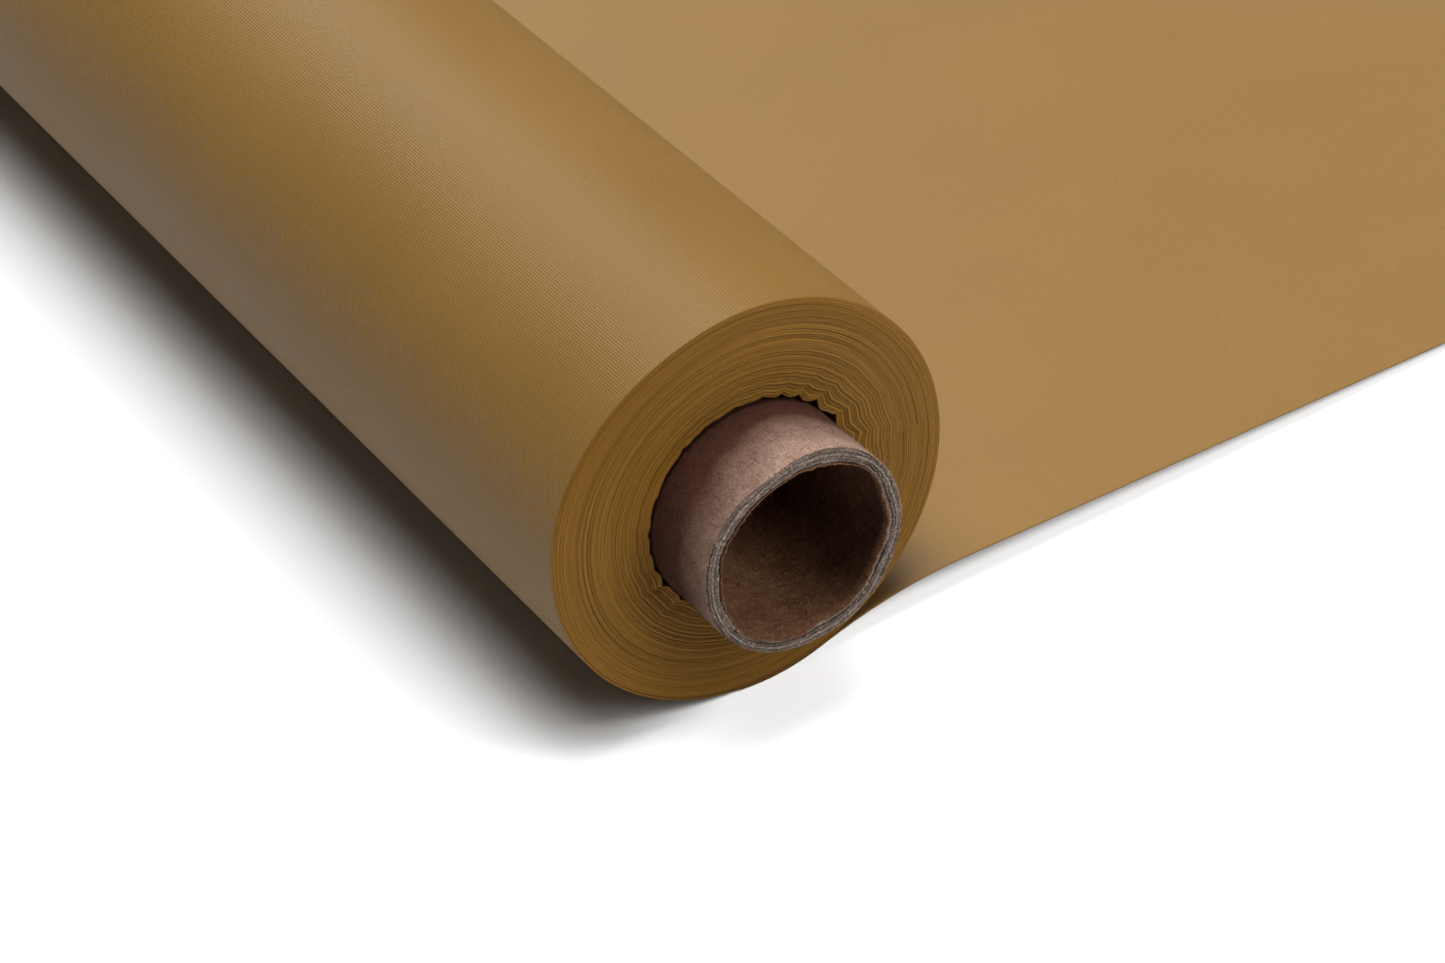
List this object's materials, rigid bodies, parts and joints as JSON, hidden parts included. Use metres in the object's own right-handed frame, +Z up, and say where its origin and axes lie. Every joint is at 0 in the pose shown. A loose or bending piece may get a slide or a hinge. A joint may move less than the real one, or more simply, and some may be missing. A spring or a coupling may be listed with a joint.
{
  "type": "plastic film roll on a paperboard core",
  "caption": "Wide roll of thin embossed gold-tan plastic film on a laminated paperboard core, with its free end unrolled flat.",
  "frame": {"origin": "on the roll's axis, half way along the core; the roll rests on the surface 40 mm below it", "axes": "+Y along the roll's axis, +X the way the free end of the film is laid out, +Z up"},
  "size_m": [0.56, 1.051, 0.08],
  "materials": {
    "film": "satin",
    "cover_board": "matte",
    "grey_board": "matte",
    "liner_board": "matte",
    "tape": "satin"
  },
  "bodies": {
    "laid_film": {"film_laid_out": "film"},
    "lead_off": {"film_lead_off": "film"},
    "roll": {"core_inner_liner": "liner_board", "core_ply_1": "grey_board", "core_ply_2": "grey_board", "core_ply_3": "grey_board", "core_ply_4": "grey_board", "core_outer_liner": "cover_board", "start_tapes": "tape", "film_inner_wraps": "film", "film_tight_wraps": "film"}
  },
  "joints": [
    {"name": "roll_travel", "type": "slide", "parent": "laid_film", "child": "lead_off", "axis": [1, 0, 0], "range_m": [-0.2514, 0.2514], "deforming": ["film_laid_out"]},
    {"name": "roll_spin", "type": "hinge", "parent": "lead_off", "child": "roll", "pos_m": [0, 0, 0], "axis": [0, 1, 0], "range_deg": [-360, 360]}
  ],
  "couplings": [
    {"joint": "roll_travel", "follows": "roll_spin", "m_per_rad": 0.04}
  ]
}
